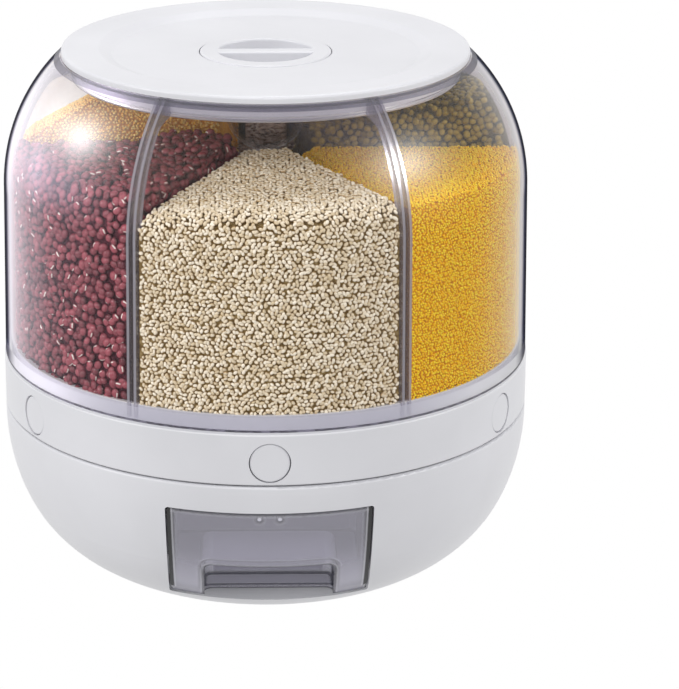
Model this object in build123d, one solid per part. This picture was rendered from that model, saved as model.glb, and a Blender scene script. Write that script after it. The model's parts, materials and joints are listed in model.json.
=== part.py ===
from build123d import *
import math
import os

# A rotating grain dispenser in millimetres, +Z up, with its drawer towards -Y. The origin is on the table,
# under the axis of the turntable. A clear jar with six compartments turns on a ball race over a white base.
# Each sprung button in the collar opens the gate of its compartment, and the grain falls through a chute
# into the drawer.

os.makedirs("parts", exist_ok=True)

# Whole object
body_radius = 124.4
compartment_count = 6
running_gap = 0.4
fixed_gap = 0.1
cut_overrun = 6.0
edge_round = 0.8

# Rubber feet and the foot ring
foot_pad_count = 4
foot_pad_radius = 5.0
foot_pad_height = 4.0
foot_pad_sink = 1.5
foot_ring_radius = 49.0
foot_ring_width = 12.0
foot_ring_height = 5.5

# Base bowl
base_height = 80.6
base_wall = 2.8
belly_radius = 93.8
belly_drop = 4.0
base_corner_radius = 64.3
corner_limit_share = 0.85
base_lip_round = 1.2
seam_gap = 0.8
ledge_width = 8.0
ledge_thickness = 3.0

# Deck, its posts and all small screws
deck_thickness = 3.0
deck_drop = 1.0
post_count = 4
post_sweep = 180.0
post_inset = 45.5
post_radius = 5.5
post_cap = 10.0
deck_boss_height = 8.0
screw_radius = 1.6
screw_head_radius = 3.2
screw_head_height = 2.4
screw_socket_radius = 1.5
screw_socket_depth = 1.4

# Spindle and what keeps the turntable on it
spindle_radius = 6.0
spindle_clearance = 0.05
spindle_flange_radius = 14.0
spindle_flange_height = 4.0
spindle_screw_length = 14.0
washer_radius = 11.0
washer_thickness = 1.5
washer_lift = 0.3

# Ball race
ball_count = 12
ball_radius = 4.0
ball_gap = 0.1
race_offset = 24.1
race_width = 14.0
groove_depth = 1.2
upper_race_height = 3.0
cage_thickness = 2.4
cage_hole_gap = 0.2

# Turntable tray with its collar, and the hopper cone with its hub
collar_wall = 3.0
floor_drop = 2.0
floor_thickness = 3.0
floor_flat = 9.0
cone_seat = 6.0
lip_height = 8.1
lip_wall = 2.2
lip_gap = 0.5
cone_rise = 34.0
cone_top_radius = 24.0
hub_tube_radius = 18.0
hub_recess_depth = 11.0

# Buttons and gates
button_radius = 9.0
button_sill = 1.2
button_headroom = 4.0
button_inset = 0.3
button_thickness = 7.0
button_stem_radius = 4.0
button_peg_radius = 2.4
button_travel = 10.0
button_round = 0.8
sleeve_wall = 1.0
sleeve_length = 6.0
stop_gap = 0.5
tab_thickness = 3.0
tab_width = 16.0
tab_drop = 6.0
outlet_width = 30.0
outlet_margin = 0.3
outlet_rim = 9.0
outlet_round = 2.0
slide_thickness = 2.6
slide_margin = 4.0
slide_gap = 0.3
rail_wall = 2.0
cover_thickness = 2.4
cover_boss_radius = 4.2
cover_screw_bite = 4.5
cover_bore_gap = 4.0

# Return springs
spring_length = 24.0
spring_radius = 2.8
spring_wire = 0.8
spring_turns = 7
spring_lift = 3.7
lug_thickness = 3.0
lug_width = 10.0
lug_height = 7.3
lug_offset = 9.0

# Jar
jar_seal_thickness = 1.0
jar_inset = 0.5
jar_draft = 1.4
jar_wall = 2.6
wall_rise = 79.7
shoulder_height = 61.4
shoulder_radius = 83.0
neck_inset = 5.1
neck_wall = 2.0
neck_height = 9.5
neck_flange = 2.0
rib_depth = 4.0
rib_width = 1.3

# Dividers and hub post
divider_thickness = 1.6
divider_gap = 0.3
divider_drop = 1.2
post_flange_radius = 22.0
post_flange_thickness = 2.4
hub_post_radius = 10.0
hub_post_wall = 1.8
hub_post_gap = 2.0

# Lid
lid_gap = 0.3
lid_overhang = 4.2
lid_edge_height = 3.2
lid_edge_round = 1.4
lid_plate = 2.4
lid_rim_width = 17.4
dish_depth = 3.0
dish_slope = 6.0
dish_round = 4.0
rim_fall = 0.5
skirt_gap = 1.4
skirt_wall = 2.4
skirt_height = 9.0
seal_height = 3.0
seal_lift = 1.5
seal_sink = 1.0

# Knob
quarter_turn = 90.0
knob_radius = 30.5
knob_flange = 2.5
knob_rise = 0.6
knob_bowl_radius = 22.0
knob_bowl_depth = 8.0
knob_wall = 2.0
knob_bar_width = 7.0
knob_round = 1.0
knob_seat_thickness = 2.2
knob_lug_reach = 3.6
knob_lug_width = 14.0
knob_lug_thickness = 2.0
knob_seal_radius = 0.8

# Moisture cup under the lid
cup_radius = 18.7
cup_drop = 49.7
cup_wall = 1.6
cup_straight = 9.0
cup_shoulder = 6.0
cup_spigot_height = 5.0
cup_spigot_wall = 2.0
cup_clear = 1.5
vent_count = 8
vent_width = 1.6
vent_height = 6.0

# Drawer
opening_top_half = 47.0
opening_bottom_half = 45.7
opening_lift = 14.6
opening_headroom = 5.7
opening_round = 1.5
sill_thickness = 2.0
drawer_gap = 0.7
front_recess = 1.0
front_wall = 2.2
bin_wall = 1.8
bin_floor = 2.0
bin_back = 22.0
bin_rim_drop = 3.5
bin_round = 3.0
pocket_half = 29.5
pocket_height = 20.7
pocket_depth = 27.0
pocket_round = 3.5
notch_depth = 15.0
pip_radius = 1.6
pip_spread = 4.6
pip_drop = 4.6
rail_length = 46.0
rail_tread = 7.0
rail_guide_height = 9.0
rail_guide_wall = 2.2

# Outlet chute
chute_margin = 2.5
chute_wall = 1.6
chute_flange = 4.0
chute_flange_thickness = 2.0
chute_drop = 6.0
chute_gap = 1.0

# Heights
base_z = foot_pad_height - foot_pad_sink + foot_ring_height
seam_z = base_z + base_height
belly_z = seam_z - belly_drop
belly_centre = body_radius - belly_radius
deck_top = seam_z - deck_drop
deck_z = deck_top - deck_thickness
collar_z = seam_z + seam_gap
button_z = collar_z + button_sill + running_gap + button_radius
collar_top = button_z + button_radius + running_gap + button_headroom
floor_z = collar_top - floor_drop
floor_top = floor_z + floor_thickness
slide_top = floor_z - slide_gap
slide_z = slide_top - slide_thickness
cover_top = slide_z - slide_gap
cover_z = cover_top - cover_thickness
upper_race_z = cover_z - upper_race_height
ball_z = upper_race_z + groove_depth - ball_radius - ball_gap
lower_race_top = ball_z - ball_radius - ball_gap + groove_depth
spring_z = slide_top + spring_lift
lip_top = collar_top + lip_height
rebate_z = floor_z + floor_thickness / 2
cone_top = floor_top + cone_rise
hub_seat_z = cone_top - hub_recess_depth
spindle_top = hub_seat_z + washer_lift
jar_z = collar_top + jar_seal_thickness
shoulder_z = jar_z + wall_rise
jar_top = shoulder_z + shoulder_height
neck_z = jar_top - neck_height
lid_z = jar_top + lid_gap
lid_top = lid_z + lid_edge_height
dish_z = lid_top - dish_depth
plate_z = dish_z - lid_plate
skirt_z = lid_z - skirt_height
knob_top = dish_z + knob_rise
knob_flange_z = knob_top - knob_flange
knob_seat_z = knob_flange_z - running_gap
knob_seat_bottom = knob_seat_z - knob_seat_thickness
cup_z = lid_top - cup_drop
cup_centre_z = cup_z + cup_radius
cup_shoulder_z = cup_centre_z + cup_straight
cup_rim_z = cup_shoulder_z + cup_shoulder
post_top = cup_z - hub_post_gap
divider_top = neck_z - divider_drop
opening_z = base_z + opening_lift
opening_top = deck_z - ledge_thickness - opening_headroom
bin_z = opening_z + drawer_gap
bin_inside_z = bin_z + bin_floor
bin_rim = opening_top - bin_rim_drop
pocket_roof = bin_inside_z + pocket_height

# Radii that follow from the fits
compartment_angle = 360.0 / compartment_count
collar_inner = body_radius - collar_wall
sleeve_end = collar_inner - sleeve_length
tab_outer = sleeve_end - stop_gap
tab_inner = tab_outer - tab_thickness
cover_radius = tab_inner - button_travel - running_gap
outlet_depth = button_travel - 2 * outlet_margin
outlet_outer = cover_radius - outlet_rim
outlet_radius = outlet_outer - outlet_depth / 2
outlet_inner = outlet_outer - outlet_depth
window_radius = outlet_radius + button_travel
cone_foot_radius = outlet_inner - floor_flat
cone_seat_radius = cone_foot_radius - cone_seat
anchor_inner = hub_tube_radius + lug_offset
anchor_outer = anchor_inner + lug_thickness
slide_inner = anchor_outer + spring_length
slide_half = outlet_width / 2 + slide_margin
race_circle = cone_foot_radius - race_offset
race_inner = race_circle - race_width / 2
race_outer = race_circle + race_width / 2
cover_screw_circle = cone_foot_radius
jar_foot_radius = body_radius - jar_inset
shoulder_start_radius = jar_foot_radius - jar_draft
shoulder_centre = shoulder_start_radius - shoulder_radius
dome_top_radius = shoulder_centre + math.sqrt(shoulder_radius**2 - shoulder_height**2)
neck_outer_radius = dome_top_radius - neck_inset
neck_inner_radius = neck_outer_radius - neck_wall
lid_radius = neck_outer_radius + lid_overhang
dish_radius = lid_radius - lid_rim_width
lip_outer = jar_foot_radius - jar_wall - lip_gap
lip_inner = lip_outer - lip_wall
deck_radius = body_radius - base_wall - fixed_gap
post_circle = deck_radius - post_inset
ledge_inner = body_radius - base_wall - ledge_width
skirt_outer = neck_inner_radius - skirt_gap
skirt_inner = skirt_outer - skirt_wall
seal_outer = neck_inner_radius - running_gap
knob_well_radius = knob_radius + running_gap
well_outer = knob_well_radius + lid_plate
knob_cup_radius = knob_bowl_radius + knob_wall
lid_hole_radius = knob_cup_radius + running_gap
cup_rim_inner = well_outer + fixed_gap
cup_rim_outer = cup_rim_inner + cup_wall
corner_radius = min(base_corner_radius, corner_limit_share * (belly_z - base_z))
corner_z = base_z + corner_radius
corner_centre = belly_centre + math.sqrt((belly_radius - corner_radius) ** 2 - (belly_z - corner_z) ** 2)
bin_half = opening_bottom_half - drawer_gap
rail_start = bin_back - drawer_gap
bin_foot_radius = corner_centre + math.sqrt(corner_radius**2 - (corner_z - bin_inside_z) ** 2)
pocket_back = bin_foot_radius - pocket_depth
notch_back = bin_foot_radius - notch_depth
chute_half = outlet_width / 2 + chute_margin
chute_inner = outlet_inner - chute_margin
chute_outer = outlet_outer + chute_margin
pilot_radius = screw_radius + fixed_gap


def turned(points, rounds=()):
    """Solid turned about the Z axis from an outline of (radius, height) points, some corners rounded."""
    outline = make_face(Polyline(*points, close=True))
    for corner, radius in rounds:
        outline = fillet(outline.vertices().sort_by_distance(corner)[0], radius)
    return revolve(Plane.XZ * outline, Axis.Z)


def drum(radius, bottom, top):
    """Upright cylinder about the Z axis between two heights."""
    return Pos(0, 0, bottom) * Cylinder(radius, top - bottom, align=(Align.CENTER, Align.CENTER, Align.MIN))


def ring(inner, outer, bottom, top):
    """Upright ring about the Z axis between two heights."""
    return drum(outer, bottom, top) - drum(inner, bottom - cut_overrun, top + cut_overrun)


def block(half_width, outer, inner, bottom, top):
    """Box on the front radius, between two distances from the axis and two heights."""
    box = Box(2 * half_width, outer - inner, top - bottom, align=(Align.CENTER, Align.MIN, Align.MIN))
    return Pos(0, -outer, bottom) * box


def rod(radius, outer, inner, height):
    """Cylinder along the front radius, between two distances from the axis."""
    cylinder = Cylinder(radius, outer - inner, align=(Align.CENTER, Align.CENTER, Align.MIN))
    return Pos(0, -outer, height) * Rot(-90, 0, 0) * cylinder


def slot(half_width, outer, inner, bottom, top, radius):
    """Upright prism on the front radius with rounded corners, for holes that let grain through."""
    outline = RectangleRounded(2 * half_width, outer - inner, radius)
    return extrude(Pos(0, -(outer + inner) / 2, bottom) * outline, top - bottom)


def around(count, sweep=360.0, start=0.0):
    """Turns about the Z axis that repeat a piece, evenly over a sweep."""
    steps = count if sweep == 360.0 else count - 1
    return [Rot(0, 0, start + sweep * index / steps) for index in range(count)]


def screw(length, radius=screw_radius, head_radius=screw_head_radius):
    """Pan head screw pointing up, its head seated under the origin, with a hexagon socket."""
    shank = drum(radius, -screw_head_height / 2, length)
    head = drum(head_radius, -screw_head_height, 0)
    hexagon = RegularPolygon(screw_socket_radius, 6)
    socket = extrude(Pos(0, 0, -screw_head_height) * hexagon, screw_socket_depth)
    return shank + head - socket


def base_bowl(inset, top):
    """Filled bowl of the base, inset from its outer skin and cut off level at a height."""
    radius = belly_radius - inset
    bottom = base_z + inset
    angle = math.degrees(math.asin((belly_z - bottom) / radius))
    side = CenterArc((belly_centre, belly_z), radius, -angle, angle)
    upright = Line(side @ 1, (belly_centre + radius, top))
    cap = Line(upright @ 1, (0, top))
    axis = Line((0, top), (0, bottom))
    floor = Line((0, bottom), side @ 0)
    outline = make_face([side, upright, cap, axis, floor])
    outline = fillet(outline.vertices().sort_by_distance(side @ 0)[0], corner_radius - inset)
    return revolve(Plane.XZ * outline, Axis.Z)


def jar_dome(inset, top):
    """Filled dome of the jar, inset from its outer skin and cut off level at a height."""
    radius = shoulder_radius - inset
    angle = math.degrees(math.asin((top - shoulder_z) / radius))
    shoulder = CenterArc((shoulder_centre, shoulder_z), radius, 0, angle)
    wall = Line((jar_foot_radius - inset, jar_z), shoulder @ 0)
    cap = Line(shoulder @ 1, (0, top))
    axis = Line((0, top), (0, jar_z))
    bottom = Line((0, jar_z), wall @ 0)
    return revolve(Plane.XZ * make_face([bottom, wall, shoulder, cap, axis]), Axis.Z)


def drawer_prism(margin, inner, outer):
    """Tapered prism of the drawer opening, less a margin all round, between two distances from the axis."""
    top_half = opening_top_half - margin
    bottom_half = opening_bottom_half - margin
    low = opening_z + margin
    high = opening_top - margin
    outline = make_face(
        Polyline((-bottom_half, low), (bottom_half, low), (top_half, high), (-top_half, high), close=True)
    )
    outline = fillet(outline.vertices(), opening_round)
    return extrude(Plane.XZ.offset(inner) * outline, outer - inner)


def post_places():
    """Turns that put a post at each place round the back of the base."""
    return [turn * Pos(post_circle, 0, 0) for turn in around(post_count, post_sweep)]


def make_base_shell():
    """White bowl with a foot ring, a ledge and posts for the deck, and the drawer opening with its sill."""
    shell = base_bowl(0, seam_z)
    inside = base_bowl(base_wall / 2, seam_z)
    rim = shell.edges().filter_by(GeomType.CIRCLE).sort_by(Axis.Z)[-1]
    shell = fillet(rim, base_lip_round) - base_bowl(base_wall, seam_z + cut_overrun)
    shell += ring(ledge_inner, body_radius - base_wall / 2, deck_z - ledge_thickness, deck_z)
    sill_inner = rail_start + rail_length + running_gap
    sill_z = opening_z - sill_thickness
    shell += inside & block(opening_bottom_half, body_radius, sill_inner, sill_z, opening_z)
    foot_inner = foot_ring_radius - foot_ring_width / 2
    foot_outer = foot_ring_radius + foot_ring_width / 2
    shell += ring(foot_inner, foot_outer, base_z - foot_ring_height, base_z + base_wall / 2)
    for place in post_places():
        shell += inside & (place * drum(post_radius, base_z, deck_z))
        shell -= place * drum(screw_head_radius + running_gap, base_z - cut_overrun, deck_z - post_cap)
        shell -= place * drum(pilot_radius, base_z, deck_z + cut_overrun)
    for turn in around(foot_pad_count, start=180.0 / foot_pad_count):
        pocket = drum(foot_pad_radius + fixed_gap, 0, foot_pad_height)
        shell -= turn * Pos(foot_ring_radius, 0, 0) * pocket
    return shell - drawer_prism(0, sill_inner, body_radius + cut_overrun)


def make_rubber_feet():
    """Rubber pads pushed into the foot ring."""
    pad = drum(foot_pad_radius, 0, foot_pad_height)
    pad = fillet(pad.edges().sort_by(Axis.Z)[0], edge_round)
    turns = around(foot_pad_count, start=180.0 / foot_pad_count)
    return Compound([(turn * Pos(foot_ring_radius, 0, 0) * pad).solid() for turn in turns])


def make_base_deck():
    """White plate over the bowl, with the lower ball race, screw bosses and the chute hole."""
    deck = drum(deck_radius, deck_z, deck_top) + ring(race_inner, race_outer, deck_z, lower_race_top)
    deck -= Pos(0, 0, ball_z) * Torus(race_circle, ball_radius + ball_gap)
    for place in post_places():
        deck += place * drum(post_radius, deck_z, deck_top + deck_boss_height)
        deck -= place * drum(pilot_radius, deck_z - cut_overrun, deck_top + deck_boss_height - edge_round)
    deck -= drum(pilot_radius, deck_z - cut_overrun, deck_top + cut_overrun)
    hole = chute_wall + fixed_gap
    low, high = deck_z - cut_overrun, deck_top + cut_overrun
    return deck - block(chute_half + hole, chute_outer + hole, chute_inner - hole, low, high)


def make_deck_screws():
    """Screws that hold the deck down on its posts."""
    length = post_cap + deck_thickness + deck_boss_height / 2
    one = Pos(0, 0, deck_z - post_cap) * screw(length)
    return Compound([(place * one).solid() for place in post_places()])


def make_outlet_chute():
    """Rectangular funnel from under the gates, through the deck, to above the drawer."""
    bottom = deck_z - chute_drop
    top = cover_z - chute_gap
    chute = block(chute_half + chute_wall, chute_outer + chute_wall, chute_inner - chute_wall, bottom, top)
    edge = chute_wall + chute_flange
    flange_top = deck_top + chute_flange_thickness
    chute += block(chute_half + edge, chute_outer + edge, chute_inner - edge, deck_top, flange_top)
    hole = slot(chute_half, chute_outer, chute_inner, bottom - cut_overrun, top + cut_overrun, outlet_round)
    return chute - hole


def make_drawer_rail(side):
    """Runner on the base floor, shaped to the bowl, with a tread under the drawer and a guide beside it."""
    floor = base_z + base_wall
    guide = bin_half + running_gap
    outer = guide + rail_guide_wall
    tread = Box(outer - bin_half + rail_tread, rail_length, bin_z - running_gap - floor, align=Align.MIN)
    rail = Pos(bin_half - rail_tread, 0, floor) * tread
    fence = Box(rail_guide_wall, rail_length, bin_z + rail_guide_height - floor, align=Align.MIN)
    rail += Pos(guide, 0, floor) * fence
    rail = Pos(0, -rail_start - rail_length, 0) * rail & base_bowl(base_wall + fixed_gap, seam_z)
    return rail if side > 0 else mirror(rail, Plane.YZ)


def make_pivot_spindle():
    """Steel shaft with a flange that sits on the deck."""
    spindle = drum(spindle_flange_radius, deck_top, deck_top + spindle_flange_height)
    spindle += drum(spindle_radius, deck_top, spindle_top)
    spindle -= drum(pilot_radius, deck_top - cut_overrun, deck_top + spindle_screw_length)
    return spindle - drum(pilot_radius, spindle_top - spindle_screw_length, spindle_top + cut_overrun)


def make_spindle_screw():
    """Screw from under the deck into the spindle."""
    return Pos(0, 0, deck_z) * screw(spindle_screw_length)


def make_retaining_washer():
    """Steel washer on the spindle, just over the hub's seat."""
    return ring(pilot_radius, washer_radius, spindle_top, spindle_top + washer_thickness)


def make_retaining_screw():
    """Screw down through the washer into the spindle."""
    length = spindle_screw_length - edge_round + washer_thickness
    return Pos(0, 0, spindle_top + washer_thickness) * Rot(180, 0, 0) * screw(length)


def make_ball_cage():
    """Flat ring that spaces the balls."""
    half = cage_thickness / 2
    cage = ring(race_inner + running_gap, race_outer - running_gap, ball_z - half, ball_z + half)
    hole = drum(ball_radius + cage_hole_gap, ball_z - cut_overrun, ball_z + cut_overrun)
    for turn in around(ball_count):
        cage -= turn * Pos(race_circle, 0, 0) * hole
    return cage


def make_bearing_balls():
    """Steel balls between the two races."""
    ball = Pos(race_circle, 0, ball_z) * Sphere(ball_radius)
    return Compound([(turn * ball).solid() for turn in around(ball_count)])


def make_turntable_tray():
    """White collar and floor ring in one moulding, with outlets, button sleeves and gate rails."""
    tray = turned(
        [
            (collar_inner, collar_z),
            (body_radius, collar_z),
            (body_radius, collar_top),
            (lip_outer, collar_top),
            (lip_outer, lip_top),
            (lip_inner, lip_top),
            (lip_inner, floor_top),
            (cone_foot_radius, floor_top),
            (cone_foot_radius, rebate_z),
            (cone_seat_radius, rebate_z),
            (cone_seat_radius, floor_z),
            (collar_inner, floor_z),
        ],
        [((body_radius, collar_top), edge_round), ((body_radius, collar_z), edge_round)],
    )
    sleeve_radius = button_radius + running_gap + sleeve_wall
    sleeve = rod(sleeve_radius, collar_inner + collar_wall / 2, sleeve_end, button_z)
    hole = rod(button_radius + running_gap, body_radius + cut_overrun, sleeve_end - cut_overrun, button_z)
    low, high = floor_z - cut_overrun, floor_top + cut_overrun
    outlet = slot(outlet_width / 2, outlet_outer, outlet_inner, low, high, outlet_round)
    rail = block(rail_wall / 2, cover_radius, cone_foot_radius, cover_top, rebate_z)
    rail_place = slide_half + running_gap + rail_wall / 2
    for turn in around(compartment_count):
        tray += turn * sleeve
        tray -= turn * hole
        tray -= turn * outlet
        for side in (-1, 1):
            tray += turn * Pos(side * rail_place, 0, 0) * rail
    boss = drum(cover_boss_radius, cover_top, rebate_z)
    pilot = drum(pilot_radius, cover_top - cut_overrun, cover_top + cover_screw_bite)
    for place in cover_screw_places():
        tray += place * boss
        tray -= place * pilot
    return tray


def make_hopper_cone():
    """White cone seated on the tray that sheds the grain to the outlets and turns on the spindle."""
    bore = spindle_radius + spindle_clearance
    recess = washer_radius + running_gap
    spread = (cone_foot_radius - cone_top_radius) / cone_rise
    foot_inner = cone_foot_radius - spread * (rebate_z - floor_z)
    foot_outer = cone_foot_radius - fixed_gap
    return turned(
        [
            (bore, cover_top),
            (hub_tube_radius, cover_top),
            (hub_tube_radius, cone_top - floor_thickness),
            (cone_top_radius, cone_top - floor_thickness),
            (foot_inner, rebate_z),
            (foot_outer, rebate_z),
            (foot_outer, floor_top),
            (cone_top_radius, cone_top),
            (recess, cone_top),
            (recess, hub_seat_z),
            (bore, hub_seat_z),
        ]
    )


def cover_screw_places():
    """Turns that put a screw between each pair of gates."""
    turns = around(compartment_count, start=compartment_angle / 2 - 90)
    return [turn * Pos(cover_screw_circle, 0, 0) for turn in turns]


def make_gate_cover():
    """White plate under the gates, with outlets, the upper ball race and the spring anchors."""
    cover = ring(spindle_radius + cover_bore_gap, cover_radius, cover_z, cover_top)
    cover += ring(race_inner, race_outer, upper_race_z, cover_top)
    cover -= Pos(0, 0, ball_z) * Torus(race_circle, ball_radius + ball_gap)
    anchor = block(lug_width / 2, anchor_outer, anchor_inner, cover_z, slide_top + lug_height)
    low, high = cover_z - cut_overrun, cover_top + cut_overrun
    outlet = slot(outlet_width / 2, outlet_outer, outlet_inner, low, high, outlet_round)
    for turn in around(compartment_count):
        cover += turn * anchor
        cover -= turn * outlet
    for place in cover_screw_places():
        cover -= place * drum(pilot_radius, low, high)
    return cover


def make_cover_screws():
    """Screws up through the gate cover into the tray."""
    one = Pos(0, 0, cover_z) * screw(cover_thickness + cover_screw_bite - fixed_gap)
    return Compound([(place * one).solid() for place in cover_screw_places()])


def make_gate_slide():
    """White plate with a window that meets the outlet when the button is pressed."""
    window_outer = window_radius + outlet_depth / 2
    window_inner = window_radius - outlet_depth / 2
    slide = block(slide_half, window_outer + slide_margin, slide_inner, slide_z, slide_top)
    slide += block(tab_width / 2, tab_outer, window_radius, slide_z, slide_top)
    slide += block(tab_width / 2, tab_outer, tab_inner, button_z - tab_drop, slide_top)
    slide += block(lug_width / 2, slide_inner + lug_thickness, slide_inner, slide_z, slide_top + lug_height)
    low, high = slide_z - cut_overrun, slide_top + cut_overrun
    slide -= slot(outlet_width / 2, window_outer, window_inner, low, high, outlet_round)
    peg_hole = button_peg_radius + fixed_gap
    return slide - rod(peg_hole, tab_outer + cut_overrun, tab_inner - cut_overrun, button_z)


def make_button():
    """Round white button, flush with the collar, with a stem and a peg into the gate's tab."""
    face = body_radius - button_inset
    back = face - button_thickness
    button = rod(button_radius, body_radius + cut_overrun, back, button_z)
    button &= drum(face, button_z - button_radius - cut_overrun, button_z + button_radius + cut_overrun)
    button = fillet(button.edges().sort_by(Axis.Y)[0], button_round)
    button += rod(button_stem_radius, back + button_thickness / 2, tab_outer, button_z)
    return button + rod(button_peg_radius, back, tab_inner, button_z)


def coil_path(radius, length, turns):
    """Smooth line of arcs along a helix about +Z, two tangent arcs to each quarter turn."""
    rise = length / (2 * math.pi * turns)

    def place(quarter):
        angle = quarter * math.pi / 2
        return Vector(radius * math.cos(angle), radius * math.sin(angle), rise * angle)

    def heading(quarter):
        angle = quarter * math.pi / 2
        return Vector(-radius * math.sin(angle), radius * math.cos(angle), rise).normalized()

    arcs = []
    for quarter in range(4 * turns):
        start, end = place(quarter), place(quarter + 1)
        leave, arrive = heading(quarter), heading(quarter + 1)
        chord = end - start
        along = chord.dot(leave + arrive)
        spread = 2 * (1 - leave.dot(arrive))
        reach = (math.sqrt(along**2 + spread * chord.dot(chord)) - along) / spread
        joint = (start + end + (leave - arrive) * reach) * 0.5
        first = TangentArc(start, joint, tangent=leave)
        arcs += [first, TangentArc(joint, end, tangent=first % 1)]
    return Wire(arcs)


def make_gate_spring():
    """Coil spring between an anchor of the gate cover and the lug of a gate."""
    coil = coil_path(spring_radius, spring_length - spring_wire - 2 * fixed_gap, spring_turns)
    section = Plane(origin=coil @ 0, z_dir=coil % 0) * Circle(spring_wire / 2)
    spring = sweep(section, path=coil)
    return Pos(0, -anchor_outer - fixed_gap - spring_wire / 2, spring_z) * Rot(90, 0, 0) * spring


def make_jar_shell():
    """Clear dome with a neck for the lid and a pair of guide ribs for each divider."""
    jar = jar_dome(0, jar_top) - jar_dome(jar_wall, jar_top)
    inside = jar_dome(jar_wall / 2, jar_top)
    jar += ring(neck_inner_radius, neck_outer_radius, neck_z, jar_top)
    jar += ring(neck_inner_radius, body_radius, jar_top - neck_flange, jar_top) & inside
    band = inside - jar_dome(jar_wall + rib_depth, jar_top)
    offset = divider_thickness / 2 + divider_gap + rib_width / 2
    rib_foot = lip_top + running_gap
    for turn in around(compartment_count, start=compartment_angle / 2):
        for side in (-1, 1):
            rib_top = jar_top - neck_flange / 2
            slab = block(rib_width / 2, body_radius, neck_inner_radius, rib_foot, rib_top)
            jar += band & (turn * Pos(side * offset, 0, 0) * slab)
    return jar


def make_jar_seal():
    """Soft ring between the jar's foot and the collar."""
    return ring(jar_foot_radius - jar_wall, jar_foot_radius - fixed_gap, collar_top, jar_z)


def make_hub_post():
    """Clear hollow post on the hopper floor that closes the hub and carries the dividers' inner edges."""
    flange_top = cone_top + post_flange_thickness
    inside = hub_post_radius - hub_post_wall
    return turned(
        [
            (inside, cone_top),
            (post_flange_radius, cone_top),
            (post_flange_radius, flange_top),
            (hub_post_radius, flange_top),
            (hub_post_radius, post_top),
            (0, post_top),
            (0, post_top - hub_post_wall),
            (inside, post_top - hub_post_wall),
        ],
        [((post_flange_radius, flange_top), edge_round), ((hub_post_radius, post_top), edge_round)],
    )


def compartment_space():
    """The space that the dividers fill, clear of jar, floor, hub post and moisture cup."""
    space = jar_dome(jar_wall + divider_gap, divider_top)
    flange_top = cone_top + post_flange_thickness
    space -= turned(
        [
            (0, jar_z - cut_overrun),
            (jar_foot_radius, jar_z - cut_overrun),
            (jar_foot_radius, lip_top + divider_gap),
            (lip_inner - divider_gap, lip_top + divider_gap),
            (lip_inner - divider_gap, floor_top + divider_gap),
            (cone_foot_radius, floor_top + divider_gap),
            (cone_top_radius, cone_top + divider_gap),
            (post_flange_radius + divider_gap, cone_top + divider_gap),
            (post_flange_radius + divider_gap, flange_top + divider_gap),
            (hub_post_radius + divider_gap, flange_top + divider_gap),
            (hub_post_radius + divider_gap, post_top),
            (cup_radius + cup_clear, post_top),
            (cup_radius + cup_clear, cup_shoulder_z - cup_clear),
            (cup_rim_outer + cup_clear, cup_rim_z - cup_clear),
            (cup_rim_outer + cup_clear, divider_top + cut_overrun),
            (0, divider_top + cut_overrun),
        ]
    )
    return space


def make_dividers():
    """Clear plates from the hub post to the guide ribs of the jar."""
    space = compartment_space()
    slab = block(divider_thickness / 2, body_radius, 0, floor_z, jar_top)
    return [space & (turn * slab) for turn in around(compartment_count, start=compartment_angle / 2)]


def make_lid_disc():
    """White dished lid with a skirt inside the jar's neck and a well for the knob."""
    spigot_z = knob_seat_bottom - cup_spigot_height
    spigot_inner = well_outer - cup_spigot_wall
    lid = turned(
        [
            (lid_hole_radius, knob_seat_bottom),
            (lid_hole_radius, knob_seat_z),
            (knob_well_radius, knob_seat_z),
            (knob_well_radius, dish_z),
            (dish_radius - dish_slope, dish_z),
            (dish_radius, lid_top - rim_fall),
            (lid_radius, lid_top),
            (lid_radius, lid_z),
            (skirt_outer, lid_z),
            (skirt_outer, skirt_z),
            (skirt_inner, skirt_z),
            (skirt_inner, plate_z),
            (well_outer, plate_z),
            (well_outer, spigot_z),
            (spigot_inner, spigot_z),
            (spigot_inner, knob_seat_bottom),
        ],
        [
            ((lid_radius, lid_top), lid_edge_round),
            ((dish_radius - dish_slope, dish_z), dish_round),
            ((dish_radius, lid_top - rim_fall), dish_round),
        ],
    )
    groove_z = skirt_z + seal_lift
    lid -= ring(skirt_outer - seal_sink, neck_inner_radius, groove_z, groove_z + seal_height)
    notch_half = knob_lug_width / 2 + running_gap
    notch = block(notch_half, lid_hole_radius + knob_lug_reach, 0, knob_seat_bottom, knob_seat_z)
    for turn in around(2):
        lid -= turn * notch
    return lid


def make_lid_seal():
    """Soft ring round the lid's skirt."""
    groove_z = skirt_z + seal_lift
    return ring(skirt_outer - seal_sink, seal_outer, groove_z, groove_z + seal_height)


def make_moisture_cup():
    """Clear round-bottomed cup pushed over the spigot under the lid's well, with vents in its wall."""

    def cup_outline(inset):
        radius = cup_radius - inset
        bowl = CenterArc((0, cup_centre_z), radius, -90, 90)
        straight = Line(bowl @ 1, (radius, cup_shoulder_z))
        shoulder = Line(straight @ 1, (cup_rim_outer - inset, cup_rim_z))
        rim = Line(shoulder @ 1, (cup_rim_outer - inset, plate_z))
        cap = Line(rim @ 1, (0, plate_z))
        axis = Line(cap @ 1, bowl @ 0)
        return revolve(Plane.XZ * make_face([bowl, straight, shoulder, rim, cap, axis]), Axis.Z)

    cup = cup_outline(0) - cup_outline(cup_wall)
    vent_top = cup_centre_z + vent_height
    vent = block(vent_width / 2, cup_radius + cup_wall, cup_radius - 2 * cup_wall, cup_centre_z, vent_top)
    for turn in around(vent_count):
        cup -= turn * vent
    return cup


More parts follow.
